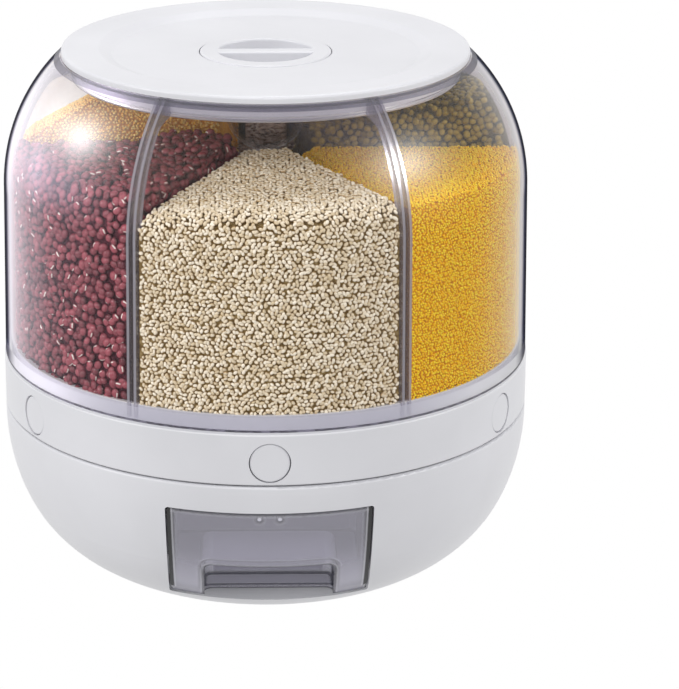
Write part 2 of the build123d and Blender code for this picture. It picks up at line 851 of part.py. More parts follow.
def make_lid_knob():
    """White quarter-turn cap with a grip bar across its bowl and two lugs under the lid."""
    cup_bottom = knob_top - knob_bowl_depth - knob_wall
    knob = turned(
        [
            (0, cup_bottom),
            (knob_cup_radius, cup_bottom),
            (knob_cup_radius, knob_flange_z),
            (knob_radius, knob_flange_z),
            (knob_radius, knob_top),
            (knob_bowl_radius, knob_top),
            (knob_bowl_radius, knob_top - knob_bowl_depth),
            (0, knob_top - knob_bowl_depth),
        ],
        [((knob_radius, knob_top), knob_round), ((knob_bowl_radius, knob_top), knob_round)],
    )
    bar = Pos(0, 0, cup_bottom) * Box(
        2 * (knob_bowl_radius + knob_wall / 2),
        knob_bar_width,
        knob_top - cup_bottom,
        align=(Align.CENTER, Align.CENTER, Align.MIN),
    )
    bar = fillet(bar.edges().filter_by(Axis.X).sort_by(Axis.Z)[2:], knob_round)
    knob += bar & drum(knob_bowl_radius + knob_wall / 2, cup_bottom, knob_top)
    lug_top = knob_seat_bottom - running_gap
    reach = knob_cup_radius + knob_lug_reach
    lug_inner = knob_cup_radius - knob_wall / 2
    lug = block(knob_lug_width / 2, reach, lug_inner, lug_top - knob_lug_thickness, lug_top)
    for turn in around(2, start=quarter_turn):
        knob += turn * lug
    return knob - Pos(0, 0, knob_flange_z) * Torus(knob_seal_circle(), knob_seal_radius + fixed_gap)


def knob_seal_circle():
    """Radius of the seal's middle line under the knob's flange."""
    return (knob_cup_radius + knob_radius) / 2


def make_knob_seal():
    """Soft ring in the groove under the knob's flange."""
    seal = Pos(0, 0, knob_flange_z) * Torus(knob_seal_circle(), knob_seal_radius)
    return seal & ring(knob_cup_radius, knob_radius, knob_flange_z - fixed_gap, knob_top)


def make_drawer_bin():
    """Smoke-clear bin whose front follows the bowl, with a finger pocket let into its foot."""
    front = base_bowl(front_recess, seam_z)
    skin = base_bowl(front_recess + front_wall, seam_z)
    body = block(bin_half, body_radius, bin_back, bin_z, bin_rim) & front
    hollow = block(bin_half - bin_wall, body_radius, bin_back + bin_wall, bin_inside_z, seam_z)
    hollow = fillet(hollow.edges().filter_by(Axis.Z).sort_by(Axis.Y)[2:], bin_round)
    panel = drawer_prism(drawer_gap, pocket_back, body_radius) & (front - skin)
    drawer = body - (hollow & skin) + panel
    pip_z = opening_top - pip_drop
    pip_radius_out = skin_radius(pip_z) - front_recess - front_wall
    for side in (-1, 1):
        drawer += Pos(side * pip_spread, -pip_radius_out, pip_z) * Sphere(pip_radius)
    case_round = pocket_round + bin_wall
    case = block(pocket_half + bin_wall, body_radius, pocket_back - bin_wall, bin_z, pocket_roof + bin_wall)
    case = fillet(pocket_edges(case), case_round) & front
    cavity = block(pocket_half, body_radius + cut_overrun, pocket_back, bin_inside_z, pocket_roof)
    cavity = fillet(pocket_edges(cavity) + cavity.edges().filter_by(Axis.X).sort_by(Axis.Z)[:1], pocket_round)
    notch = block(pocket_half, body_radius, notch_back, bin_z - cut_overrun, bin_inside_z + pocket_round)
    notch = fillet(notch.edges().filter_by(Axis.Z).sort_by(Axis.Y)[2:], pocket_round)
    return drawer + case - cavity - notch


def pocket_edges(box):
    """Edges of a pocket's box that are rounded: the two along its roof's sides and three round its back."""
    back = box.faces().sort_by(Axis.Y)[-1]
    roof = box.faces().sort_by(Axis.Z)[-1]
    upright = back.edges().filter_by(Axis.Z)
    return roof.edges().filter_by(Axis.Y) + upright + roof.edges().filter_by(Axis.X).sort_by(Axis.Y)[-1:]


def skin_radius(height):
    """Radius of the bowl's outer skin at a height on its belly."""
    return belly_centre + math.sqrt(belly_radius**2 - (belly_z - height) ** 2)


parts = {
    "base_shell": make_base_shell(),
    "rubber_feet": make_rubber_feet(),
    "base_deck": make_base_deck(),
    "deck_screws": make_deck_screws(),
    "outlet_chute": make_outlet_chute(),
    "drawer_rail_left": make_drawer_rail(-1),
    "drawer_rail_right": make_drawer_rail(1),
    "pivot_spindle": make_pivot_spindle(),
    "spindle_screw": make_spindle_screw(),
    "retaining_washer": make_retaining_washer(),
    "retaining_screw": make_retaining_screw(),
    "ball_cage": make_ball_cage(),
    "bearing_balls": make_bearing_balls(),
    "turntable_tray": make_turntable_tray(),
    "hopper_cone": make_hopper_cone(),
    "gate_cover": make_gate_cover(),
    "cover_screws": make_cover_screws(),
    "jar_shell": make_jar_shell(),
    "jar_seal": make_jar_seal(),
    "hub_post": make_hub_post(),
    "lid_disc": make_lid_disc(),
    "lid_seal": make_lid_seal(),
    "moisture_cup": make_moisture_cup(),
    "lid_knob": make_lid_knob(),
    "knob_seal": make_knob_seal(),
    "drawer_bin": make_drawer_bin(),
}

for number, divider in enumerate(make_dividers(), start=1):
    parts[f"divider_{number}"] = divider

button, gate_slide, gate_spring = make_button(), make_gate_slide(), make_gate_spring()
for number, turn in enumerate(around(compartment_count), start=1):
    parts[f"button_{number}"] = turn * button
    parts[f"gate_slide_{number}"] = turn * gate_slide
    parts[f"gate_spring_{number}"] = turn * gate_spring

for name, shape in parts.items():
    export_step(shape, f"parts/{name}.step")
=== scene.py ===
import json
import math

import bpy
import numpy as np
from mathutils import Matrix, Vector


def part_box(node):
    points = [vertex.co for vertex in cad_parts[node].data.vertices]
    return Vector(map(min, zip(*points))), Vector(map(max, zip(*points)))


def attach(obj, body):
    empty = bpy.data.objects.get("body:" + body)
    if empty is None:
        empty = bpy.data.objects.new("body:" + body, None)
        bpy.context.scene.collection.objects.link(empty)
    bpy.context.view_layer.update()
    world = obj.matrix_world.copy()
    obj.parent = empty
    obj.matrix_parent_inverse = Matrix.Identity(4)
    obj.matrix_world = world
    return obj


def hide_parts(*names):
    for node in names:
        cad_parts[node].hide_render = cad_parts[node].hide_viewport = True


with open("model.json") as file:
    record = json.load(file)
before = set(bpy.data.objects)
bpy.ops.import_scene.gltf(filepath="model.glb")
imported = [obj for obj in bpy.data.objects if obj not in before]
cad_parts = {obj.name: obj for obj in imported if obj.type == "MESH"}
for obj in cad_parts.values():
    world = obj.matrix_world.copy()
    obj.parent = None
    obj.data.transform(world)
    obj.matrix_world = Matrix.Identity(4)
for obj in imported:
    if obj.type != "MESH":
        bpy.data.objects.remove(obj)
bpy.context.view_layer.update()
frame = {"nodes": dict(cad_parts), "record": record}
nodes = frame["nodes"]
scene = bpy.context.scene

# Sizes in millimetres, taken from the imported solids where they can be
MM = 0.001
jar_low, jar_high = (np.array(corner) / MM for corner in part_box("jar_shell"))
jar_foot_radius, jar_z, jar_top = jar_high[0], jar_low[2], jar_high[2]
jar_wall = 2.6
jar_draft = 1.4
jar_foot_corner = 1.1
shoulder_height = 61.4
shoulder_radius = 83.0
shoulder_z = jar_top - shoulder_height
shoulder_centre = jar_foot_radius - jar_draft - shoulder_radius
neck_inset, neck_wall, neck_height, neck_flange = 5.1, 2.0, 9.5, 2.0
neck_zone = 91.1
groove_depth, groove_rise, groove_width = 0.9, 0.7, 0.2
rib_depth, rib_width, rib_offset, rib_sink = 4.0, 1.3, 1.1, 6.0
flare_depth, flare_start, flare_length = 8.0, 4.0, 5.0
lip_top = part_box("turntable_tray")[1][2] / MM
lip_height, lip_reach = 7.1, 3.4
floor_top = lip_top - lip_height
cone_foot, cone_top = (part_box("hopper_cone")[1][axis] / MM for axis in (0, 2))
cone_top_radius = 24.0
drawer_half, drawer_top = (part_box("drawer_bin")[1][axis] / MM for axis in (0, 2))

# Compartments, and the sine and cosine of half the angle of one
compartments = 6
compartment_angle = 360 / compartments
side_sin, side_cos = 0.5, math.sqrt(0.75)


# Shapes


def surface(name, points, quads, materials, body, sharp=40.0):
    """Mesh object made from points in millimetres and quads, smooth except at edges sharper than an angle."""
    mesh = bpy.data.meshes.new(name)
    mesh.vertices.add(len(points))
    mesh.vertices.foreach_set("co", (np.asarray(points) * MM).astype(np.float32).ravel())
    mesh.loops.add(quads.size)
    mesh.loops.foreach_set("vertex_index", quads.astype(np.int32).ravel())
    mesh.polygons.add(len(quads))
    mesh.polygons.foreach_set("loop_start", np.arange(0, quads.size, 4, dtype=np.int32))
    mesh.update(calc_edges=True)
    mesh.shade_smooth()
    if sharp:
        mesh.set_sharp_from_angle(angle=math.radians(sharp))
    for material in materials:
        mesh.materials.append(material)
    piece = bpy.data.objects.new(name, mesh)
    scene.collection.objects.link(piece)
    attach(piece, body)
    return piece


def grid_quads(rows, columns, wrap_rows=False, wrap_columns=False):
    """Quads that join a grid of points to their neighbours, closed round in either direction."""
    index = np.arange(rows * columns).reshape(rows, columns)
    if wrap_rows:
        index = np.vstack([index, index[:1]])
    if wrap_columns:
        index = np.hstack([index, index[:, :1]])
    corners = [index[:-1, :-1], index[:-1, 1:], index[1:, 1:], index[1:, :-1]]
    return np.stack(corners, axis=-1).reshape(-1, 4)


def box_skin(across, deep, high):
    """Points and outward quads on the six faces of a unit box, divided alike and joined at the edges."""
    counts = (across, deep, high)
    points, quads, start = [], [], 0
    for axis in range(3):
        first, second = (axis + 1) % 3, (axis + 2) % 3
        for side in (0, 1):
            a, b = np.meshgrid(np.arange(counts[first] + 1), np.arange(counts[second] + 1), indexing="ij")
            face = np.zeros((a.size, 3), int)
            face[:, axis] = side * counts[axis]
            face[:, first], face[:, second] = a.ravel(), b.ravel()
            turn = grid_quads(counts[first] + 1, counts[second] + 1) + start
            quads.append(turn if side == 0 else turn[:, ::-1])
            points.append(face)
            start += len(face)
    points, place = np.unique(np.vstack(points), axis=0, return_inverse=True)
    return points / np.array(counts, float), place.reshape(-1)[np.vstack(quads)]


def lathe(outline, segments=192):
    """Surface of revolution about Z: each point of a closed outline of radius and height is carried round."""
    angle = np.linspace(0, 2 * np.pi, segments, endpoint=False)
    radius, height = outline[:, 0], outline[:, 1]
    points = np.stack(
        [
            radius[None] * np.cos(angle)[:, None],
            radius[None] * np.sin(angle)[:, None],
            np.broadcast_to(height, (segments, len(height))),
        ],
        axis=-1,
    )
    return points.reshape(-1, 3), grid_quads(segments, len(outline), True, True)[:, ::-1]


def inner_radius(height, wall=jar_wall):
    """Radius of the jar's inside at a height: straight with a draft below the shoulder, a round arc above it."""
    height = np.asarray(height, float)
    share = np.clip((height - jar_z) / (shoulder_z - jar_z), 0, 1)
    rise = np.clip(height - shoulder_z, 0, shoulder_radius - wall - 1)
    arc = shoulder_centre + np.sqrt((shoulder_radius - wall) ** 2 - rise**2)
    return np.where(height > shoulder_z, arc, jar_foot_radius - wall - jar_draft * share)


def arranged(turn, out, side, height):
    """Points given by distance outwards, sideways and up, turned about Z to one of the compartments."""
    angle = math.radians(turn)
    x = out * math.sin(angle) + side * math.cos(angle)
    y = -out * math.cos(angle) + side * math.sin(angle)
    return np.stack([x, y, np.broadcast_to(height, np.shape(x))], axis=-1)


# Materials


def srgb(code):
    """Linear colour of a six-digit sRGB code."""
    parts = np.array([int(code[i : i + 2], 16) for i in (0, 2, 4)]) / 255
    linear = np.where(parts <= 0.04045, parts / 12.92, ((parts + 0.055) / 1.055) ** 2.4)
    return (*linear.tolist(), 1.0)


def add(tree, kind, links=None, stops=(), **settings):
    """Node of a kind with its settings, its inputs, each a socket or a value, and the stops of its colour ramp."""
    node = tree.nodes.new(kind)
    for key, value in settings.items():
        if hasattr(node, key):
            setattr(node, key, value)
        else:
            node.inputs[key.replace("_", " ")].default_value = value
    for key, source in (links or {}).items():
        if isinstance(source, bpy.types.NodeSocket):
            tree.links.new(source, node.inputs[key])
        else:
            node.inputs[key].default_value = source
    if stops:
        elements = node.color_ramp.elements
        while len(elements) < len(stops):
            elements.new(0.5)
        for element, (place, colour) in zip(elements, stops):
            element.position, element.color = place, colour
    return node


def colours(*stops):
    """Ramp stops from pairs of place and sRGB code."""
    return [(place, srgb(code)) for place, code in stops]


def shares(*stops):
    """Ramp stops from pairs of place and share."""
    return [(place, (share, share, share, 1.0)) for place, share in stops]


def new_material(name):
    """Empty node material and its output node."""
    material = bpy.data.materials.new(name)
    material.use_nodes = True
    material.node_tree.nodes.clear()
    return material, material.node_tree, material.node_tree.nodes.new("ShaderNodeOutputMaterial")


def moulded(name, low, high, roughness, grain=0.6, depth=0.05, metallic=0.0):
    """Moulded plastic, rubber or plain metal: faint cloudiness in its colour and gloss, and a fine texture."""
    cloud_size, relief, gloss_spread = 60 * MM, 0.2 * MM, 0.04
    material, tree, output = new_material(name)
    place = add(tree, "ShaderNodeTexCoord").outputs["Object"]
    cloud = add(tree, "ShaderNodeTexNoise", {"Vector": place}, Scale=1 / cloud_size, Detail=3.0).outputs["Fac"]
    fine = add(tree, "ShaderNodeTexNoise", {"Vector": place}, Scale=1 / (grain * MM), Detail=2.0).outputs["Fac"]
    colour = add(tree, "ShaderNodeValToRGB", {"Fac": cloud}, colours((0.3, low), (0.7, high)))
    limits = {"To Min": roughness - gloss_spread, "To Max": roughness + gloss_spread}
    gloss = add(tree, "ShaderNodeMapRange", {"Value": cloud, **limits})
    bump = add(tree, "ShaderNodeBump", {"Height": fine}, Strength=depth, Distance=relief)
    links = {"Base Color": colour.outputs["Color"], "Roughness": gloss.outputs["Result"],
             "Normal": bump.outputs["Normal"]}
    shader = add(tree, "ShaderNodeBsdfPrincipled", links, Metallic=metallic)
    tree.links.new(shader.outputs["BSDF"], output.inputs["Surface"])
    return material


def see_through(name, stops, gloss, body=((0.0, 0.0), (1.0, 0.0)), tint="ffffff", polish=0.4, edges=None):
    """Polished clear plastic sheet. Its tint, its gloss and its milky share each follow a ramp from face on to
    edge on. Edges, where given, is a function that adds nodes for the shares of painted shade and painted
    highlight on the sheet."""
    wave_length, wave_depth = 90 * MM, 1 * MM
    material, tree, output = new_material(name)
    facing = add(tree, "ShaderNodeLayerWeight", Blend=0.5).outputs["Facing"]
    place = add(tree, "ShaderNodeTexCoord").outputs["Object"]
    wave = add(tree, "ShaderNodeTexNoise", {"Vector": place}, Scale=1 / wave_length, Detail=1.0)
    bump = add(tree, "ShaderNodeBump", {"Height": wave.outputs["Fac"]}, Strength=0.03, Distance=wave_depth)
    colour, milk, mirror = (
        add(tree, "ShaderNodeValToRGB", {"Fac": facing}, ramp).outputs["Color"]
        for ramp in (colours(*stops), shares(*body), shares(*gloss))
    )
    sheet = add(tree, "ShaderNodeBsdfTransparent", {"Color": colour})
    milky = add(tree, "ShaderNodeBsdfDiffuse", Color=srgb(tint))
    inside = add(tree, "ShaderNodeMixShader", {0: milk, 1: sheet.outputs[0], 2: milky.outputs[0]})
    if edges:
        dark, pale = edges(tree)
        # Painted shade goes on as a dark see-through tint, and painted highlight as pale matt white
        deep = add(tree, "ShaderNodeBsdfTransparent", Color=srgb("20203a"))
        bright = add(tree, "ShaderNodeBsdfDiffuse", Color=srgb("f4f4fa"))
        painted_shade_mix = add(tree, "ShaderNodeMixShader", {0: dark, 1: inside.outputs[0], 2: deep.outputs[0]})
        inside = add(tree, "ShaderNodeMixShader", {0: pale, 1: painted_shade_mix.outputs[0], 2: bright.outputs[0]})
    polished = add(tree, "ShaderNodeBsdfGlossy", {"Normal": bump.outputs["Normal"]}, Roughness=polish)
    mixed = add(tree, "ShaderNodeMixShader", {0: mirror, 1: inside.outputs[0], 2: polished.outputs[0]})
    tree.links.new(mixed.outputs[0], output.inputs["Surface"])
    return material


def drawer_painted_light(tree):
    """Shares of painted shade and painted highlight on the drawer: thin dark and pale lines where its faces meet,
    and down each side of its front a dark band of painted shade, the front's thickness seen through, with a pale
    painted highlight line beside it. The two pips behind the front carry painted glints."""
    edge_reach, side_slant, band_scale, front_back = 3 * MM, 0.025, 10 * MM, -92 * MM
    pip_spread, pip_z, pip_radius, pip_front = 4.6 * MM, (drawer_top - 4.2) * MM, 0.9 * MM, -119 * MM
    rounded = add(tree, "ShaderNodeBevel", samples=6, Radius=edge_reach).outputs[0]
    flat = add(tree, "ShaderNodeNewGeometry").outputs["Normal"]
    turned = add(tree, "ShaderNodeVectorMath", {0: rounded, 1: flat}, operation="DOT_PRODUCT").outputs["Value"]
    place = add(tree, "ShaderNodeTexCoord").outputs["Object"]
    x, y, z = add(tree, "ShaderNodeSeparateXYZ", {0: place}).outputs
    values = {"turned": turned, "x": x, "y": y, "z": z}
    # Each row gives a value's name, then a sum or the stops of a ramp, then what goes into it
    rows = [
        ("likeness", "ABSOLUTE", "turned"),
        ("edge", "SUBTRACT", 1.0, "likeness"),
        ("across", "ABSOLUTE", "x"),
        ("depth", "SUBTRACT", drawer_top * MM, "z"),
        ("slant", "MULTIPLY", "depth", side_slant),
        ("outward", "ADD", "across", "slant"),
        ("inward", "SUBTRACT", drawer_half * MM, "outward"),
        ("share", "MULTIPLY", "inward", 1 / band_scale),
        ("front", "LESS_THAN", "y", front_back),
        # Painted shade: a dark band down each side of the front, and dark lines along the edges
        ("dark_side", shares((0.0, 0.97), (0.15, 0.97), (0.19, 0.0), (1.0, 0.0)), "share"),
        ("dark_band", "MULTIPLY", "dark_side", "front"),
        ("dark_line", shares((0.03, 0.0), (0.05, 0.8), (1.0, 0.9)), "edge"),
        ("dark", "MAXIMUM", "dark_band", "dark_line"),
        ("aside", "SUBTRACT", "across", pip_spread),
        ("aside_squared", "MULTIPLY", "aside", "aside"),
        ("under", "SUBTRACT", "z", pip_z),
        ("under_squared", "MULTIPLY", "under", "under"),
        ("apart_squared", "ADD", "aside_squared", "under_squared"),
        ("pip_disc", "LESS_THAN", "apart_squared", pip_radius**2),
        ("behind", "GREATER_THAN", "y", pip_front),
        ("pip", "MULTIPLY", "pip_disc", "behind"),
        # Painted highlights: a pale line beside each band, glints on the two pips, and pale lines along the edges
        ("pale_band", shares((0.17, 0.0), (0.2, 0.35), (0.24, 0.35), (0.27, 0.0)), "share"),
        ("pale_parts", "MAXIMUM", "pale_band", "pip"),
        ("pale_front", "MULTIPLY", "pale_parts", "front"),
        ("pale_line", shares((0.002, 0.0), (0.007, 0.6), (0.02, 0.6), (0.03, 0.0)), "edge"),
        ("pale_all", "MAXIMUM", "pale_front", "pale_line"),
        ("light_side", "SUBTRACT", 1.0, "dark_band"),
        ("pale", "MULTIPLY", "pale_all", "light_side"),
    ]
    for name, work, *sources in rows:
        links = {i: values.get(source, source) for i, source in enumerate(sources)}
        if isinstance(work, str):
            values[name] = add(tree, "ShaderNodeMath", links, operation=work).outputs[0]
        else:
            values[name] = add(tree, "ShaderNodeValToRGB", links, work).outputs["Color"]
    return values["dark"], values["pale"]


def grain_skin(name, rim, dark, light, roughness, shine=0.2, eye=None):
    """Seed coat: each grain has its own tone, mottled a little and darker round its rim in painted shade, and some
    beans show a pale scar along one edge. The grain's own axes come from the mesh."""
    mottle_size, mottle_share = 1.2 * MM, 0.25
    scar_middle, scar_across = (0.0, 0.75, 0.66), (0.0, -0.66, 0.75)
    scar_half_width, scar_half_length, scarless_tones = 0.13, 0.5, 0.6
    material, tree, output = new_material(name)
    tone = add(tree, "ShaderNodeAttribute", attribute_name="tone").outputs["Fac"]
    local = add(tree, "ShaderNodeAttribute", attribute_name="local").outputs["Vector"]
    split = add(tree, "ShaderNodeSeparateXYZ", {0: local})
    place = add(tree, "ShaderNodeTexCoord").outputs["Object"]
    mottle = add(tree, "ShaderNodeTexNoise", {"Vector": place}, Scale=1 / mottle_size, Detail=2.0)
    links = {0: mottle.outputs["Fac"], 1: mottle_share, 2: tone}
    blend = add(tree, "ShaderNodeMath", links, operation="MULTIPLY_ADD", use_clamp=True)
    coat = add(tree, "ShaderNodeValToRGB", {"Fac": blend.outputs[0]}, colours((0.1, dark), (0.95, light)))
    # Painted shade: the coat fades to the rim colour as the grain's own axis turns away from its crown
    links = {"Value": split.outputs["Z"], "From Min": -0.1, "From Max": 0.75}
    crown = add(tree, "ShaderNodeMapRange", links, interpolation_type="SMOOTHSTEP")
    links = {"Factor": crown.outputs["Result"], "A": srgb(rim), "B": coat.outputs["Color"]}
    colour = add(tree, "ShaderNodeMix", links, data_type="RGBA").outputs["Result"]
    if eye:
        along = add(tree, "ShaderNodeVectorMath", {0: local, 1: scar_middle}, operation="DISTANCE")
        width = add(tree, "ShaderNodeVectorMath", {0: local, 1: scar_across}, operation="DOT_PRODUCT")
        links = {0: width.outputs["Value"], 1: 0.0, 2: scar_half_width}
        narrow = add(tree, "ShaderNodeMath", links, operation="COMPARE")
        links = {0: along.outputs["Value"], 1: scar_half_length}
        near = add(tree, "ShaderNodeMath", links, operation="LESS_THAN")
        some = add(tree, "ShaderNodeMath", {0: tone, 1: scarless_tones}, operation="GREATER_THAN")
        strip = add(tree, "ShaderNodeMath", {0: narrow.outputs[0], 1: near.outputs[0]}, operation="MULTIPLY")
        scar = add(tree, "ShaderNodeMath", {0: strip.outputs[0], 1: some.outputs[0]}, operation="MULTIPLY")
        links = {"Factor": scar.outputs[0], "A": colour, "B": srgb(eye)}
        colour = add(tree, "ShaderNodeMix", links, data_type="RGBA").outputs["Result"]
    gloss = {"Roughness": roughness, "Specular IOR Level": shine}
    shader = add(tree, "ShaderNodeBsdfPrincipled", {"Base Color": colour, **gloss})
    tree.links.new(shader.outputs["BSDF"], output.inputs["Surface"])
    return material


def bed_skin(name, dark, light, size):
    """Packed grain below the first layer, seen in the gaps: cells the size of a grain, with a little relief,
    coloured darker than the grain and darkest at each cell's edge, which is painted shade.
    """
    material, tree, output = new_material(name)
    place = add(tree, "ShaderNodeTexCoord").outputs["Object"]
    cells = add(tree, "ShaderNodeTexVoronoi", {"Vector": place}, Scale=1 / (size * MM)).outputs["Distance"]
    # Painted shade: darker towards each cell's edge
    colour = add(tree, "ShaderNodeValToRGB", {"Fac": cells}, colours((0.0, light), (0.7, dark)))
    bump = add(tree, "ShaderNodeBump", {"Height": cells}, Strength=0.6, Distance=size / 2 * MM, invert=True)
    links = {"Base Color": colour.outputs["Color"], "Normal": bump.outputs["Normal"]}
    shader = add(tree, "ShaderNodeBsdfPrincipled", links, Roughness=0.7, Specular_IOR_Level=0.1)
    tree.links.new(shader.outputs["BSDF"], output.inputs["Surface"])
    return material


# Satin white moulded plastic of the lid, collar and bowl: soft wide highlights and hardly any texture
white = moulded("white_moulded_plastic", "d4d4d8", "dcdce0", 0.34)
# Polished clear plastic of the jar's outside: it all but vanishes face on, and its outline is a thin dark line
clear_outside = see_through(
    "clear_plastic_outside",
    stops=[(0.0, "f6f4f4"), (0.82, "f6f5f8"), (0.87, "343c70"), (1.0, "10183c")],
    gloss=[(0.0, 0.01), (0.4, 0.02), (0.6, 0.08), (0.7, 0.19), (0.81, 0.48), (0.87, 0.04), (1.0, 0.0)],
)
# The same plastic on the jar's inside, and in the dividers, post and cup
clear = see_through(
    "clear_plastic",
    stops=[(0.0, "fdfcfb"), (0.5, "f4f2f0"), (0.85, "eeecec"), (1.0, "c4c8d8")],
    gloss=[(0.0, 0.006), (0.5, 0.02), (0.8, 0.2), (1.0, 0.3)],
)
# The same plastic, milky and lilac, at the neck, where the wall thickens and is seen along itself, and at the
# foot, where its grey-lilac tint is painted shade on the white tray lip seen behind the wall
milky_plastic = see_through(
    "milky_clear_plastic",
    stops=[(0.0, "f6f5fa"), (0.6, "e4e2ec"), (0.86, "4a4a70"), (1.0, "20204c")],
    gloss=[(0.0, 0.05), (0.2, 0.1), (0.45, 0.45), (0.75, 0.6), (0.86, 0.1), (1.0, 0.0)],
    body=[(0.0, 0.4), (0.6, 0.4), (0.86, 0.1), (1.0, 0.0)],
    tint="cccad8",
)
# The same plastic, darkened with painted shade in the jar's corners under the lid's rim and above the collar
painted_shade_plastic = see_through(
    "clear_plastic_painted_shade",
    stops=[(0.0, "a09cac"), (0.6, "a8a6b4"), (1.0, "30304c")],
    gloss=[(0.0, 0.03), (1.0, 0.2)],
)
# The same plastic in the guide ribs, which look dark along their sides
rib_plastic = see_through(
    "ribbed_clear_plastic",
    stops=[(0.0, "f4f3f8"), (0.5, "c4c2ce"), (1.0, "50506c")],
    gloss=[(0.0, 0.07), (0.5, 0.14), (1.0, 0.2)],
    body=[(0.0, 0.42), (0.25, 0.34), (0.5, 0.12), (1.0, 0.0)],
    tint="e0dce8",
    polish=0.25,
)
# Smoke-grey clear plastic of the drawer, with lines of painted shade and painted highlight along its edges and
# painted glints on its pips
smoke = see_through(
    "smoke_plastic",
    stops=[(0.0, "eceaf2"), (0.7, "e4e3ec"), (0.86, "5c5c74"), (1.0, "2c2c40")],
    gloss=[(0.0, 0.05), (0.7, 0.1), (0.86, 0.4), (1.0, 0.5)],
    body=[(0.0, 0.2), (0.3, 0.2), (0.6, 0.45), (0.7, 0.45), (0.9, 0.1), (1.0, 0.0)],
    tint="e0deea",
    polish=0.14,
    edges=drawer_painted_light,
)
# Bright steel of screws, springs, balls and spindle
steel = moulded("bright_steel", "9a9a9e", "b4b4b8", 0.28, grain=0.3, metallic=1.0)
# Natural nylon of the ball cage: cream and waxy
nylon = moulded("natural_nylon", "d8d4c8", "e4e0d6", 0.45)
# Silicone rubber of the seals: pale grey with a dull sheen
silicone = moulded("silicone_rubber", "c6c6cc", "d6d6da", 0.5)
# Soft black rubber of the feet: matt, with a visible grain
rubber = moulded("black_rubber", "1e1e20", "2a2a2c", 0.75, grain=0.4, depth=0.2)
looks = {
    "white_plastic": white,
    "clear_plastic": clear,
    "smoke_plastic": smoke,
    "steel": steel,
    "nylon": nylon,
    "silicone": silicone,
    "rubber": rubber,
}
for part in frame["record"]["subparts"]:
    node, slot = nodes[part["node"]], part["material_slot"]
    node.data.materials.clear()
    node.data.materials.append(looks[slot])
    # Light falls through the clear pieces
    node.visible_shadow = node.visible_diffuse = slot not in ("clear_plastic", "smoke_plastic")


# Jar

# Places of the materials in the jar's mesh
OUTSIDE, MILKY, RIB, INSIDE, PAINTED_SHADE = range(5)


def jar_outline():
    """Section of the jar's wall, and the material of each stretch: up the outside, over the shoulder arc, in along
    the flange, down and up round the neck with a bead at its foot, and back down the inside."""
    neck_outer = shoulder_centre + math.sqrt(shoulder_radius**2 - shoulder_height**2) - neck_inset
    rise = np.linspace(0, 1, 40)
    top = math.asin(shoulder_height / shoulder_radius)
    outer = np.stack(
        [
            shoulder_centre + shoulder_radius * np.cos(rise * top),
            shoulder_z + shoulder_radius * np.sin(rise * top),
        ],
        axis=1,
    )
    under = jar_top - neck_flange
    inner_arc = shoulder_radius - jar_wall
    low = math.asin((under - shoulder_z) / inner_arc)
    inner = np.stack(
        [
            shoulder_centre + inner_arc * np.cos(rise[::-1] * low),
            shoulder_z + inner_arc * np.sin(rise[::-1] * low),
        ],
        axis=1,
    )
    wall = np.append([jar_z, jar_z + jar_foot_corner], np.linspace(jar_z, shoulder_z, 24)[1:-1])
    outside = np.stack([inner_radius(wall, 0.0), wall], axis=1)
    inside = np.stack([inner_radius(wall[::-1]), wall[::-1]], axis=1)
    turn = np.linspace(0, np.pi, 9)
    foot = np.stack([-np.cos(turn), -np.sin(turn)], axis=1) * neck_wall / 2
    neck_foot = jar_top - neck_height + neck_wall / 2
    groove_radius, groove_top = neck_outer - groove_depth, neck_foot + groove_rise + groove_width
    neck = np.vstack(
        [
            [(neck_outer - neck_wall, jar_top)],
            foot + (neck_outer - neck_wall / 2, neck_foot),
            [(groove_radius, neck_foot + groove_rise), (groove_radius, groove_top)],
            [(neck_outer, groove_top + groove_rise), (neck_outer, under)],
        ]
    )
    rim = len(outside) + len(outer)
    kinds = np.array([OUTSIDE] * rim + [MILKY] * len(neck) + [INSIDE] * (len(inner) + len(inside)))
    # Painted shade on the bottom corner above the collar and on two faces under the lid's rim
    kinds[[0, rim - 3, rim - 2]] = PAINTED_SHADE
    return np.vstack([outside, outer, neck, inner, inside]), kinds


def ribs():
    """Twelve guide ribs, two to a divider: a bar whose outer side follows the jar's inner wall half a wall deep
    and whose inner side lies one rib depth inside it, from the tray's lip to the neck, where it flares inwards."""
    unit, quads = box_skin(1, 1, 96)
    low = lip_top - rib_sink
    height = low + unit[:, 2] * (jar_top - neck_flange / 2 - low)
    outer = inner_radius(height) + jar_wall / 2
    flare = flare_depth * np.clip((height - jar_top + neck_height + flare_start) / flare_length, 0, 1) ** 2
    out = outer - unit[:, 1] * (rib_depth + flare + jar_wall / 2)
    points, faces = [], []
    for k in range(compartments):
        for side in (-1, 1):
            across = side * (rib_offset + unit[:, 0] * rib_width)
            faces.append((quads if side > 0 else quads[:, ::-1]) + len(points) * len(unit))
            turn = compartment_angle * (k + 0.5)
            points.append(arranged(turn, np.sqrt(out**2 - across**2), across, height))
    return np.vstack(points), np.vstack(faces)


outline, kinds = jar_outline()
shell_points, shell_quads = lathe(outline)
rib_points, rib_quads = ribs()
jar_points = np.vstack([shell_points, rib_points])
jar_quads = np.vstack([shell_quads, rib_quads + len(shell_points)])
jar_materials = [clear_outside, milky_plastic, rib_plastic, clear, painted_shade_plastic]
jar = surface("jar_dome", jar_points, jar_quads, jar_materials, "turntable")
middles = jar_points[shell_quads].mean(1)
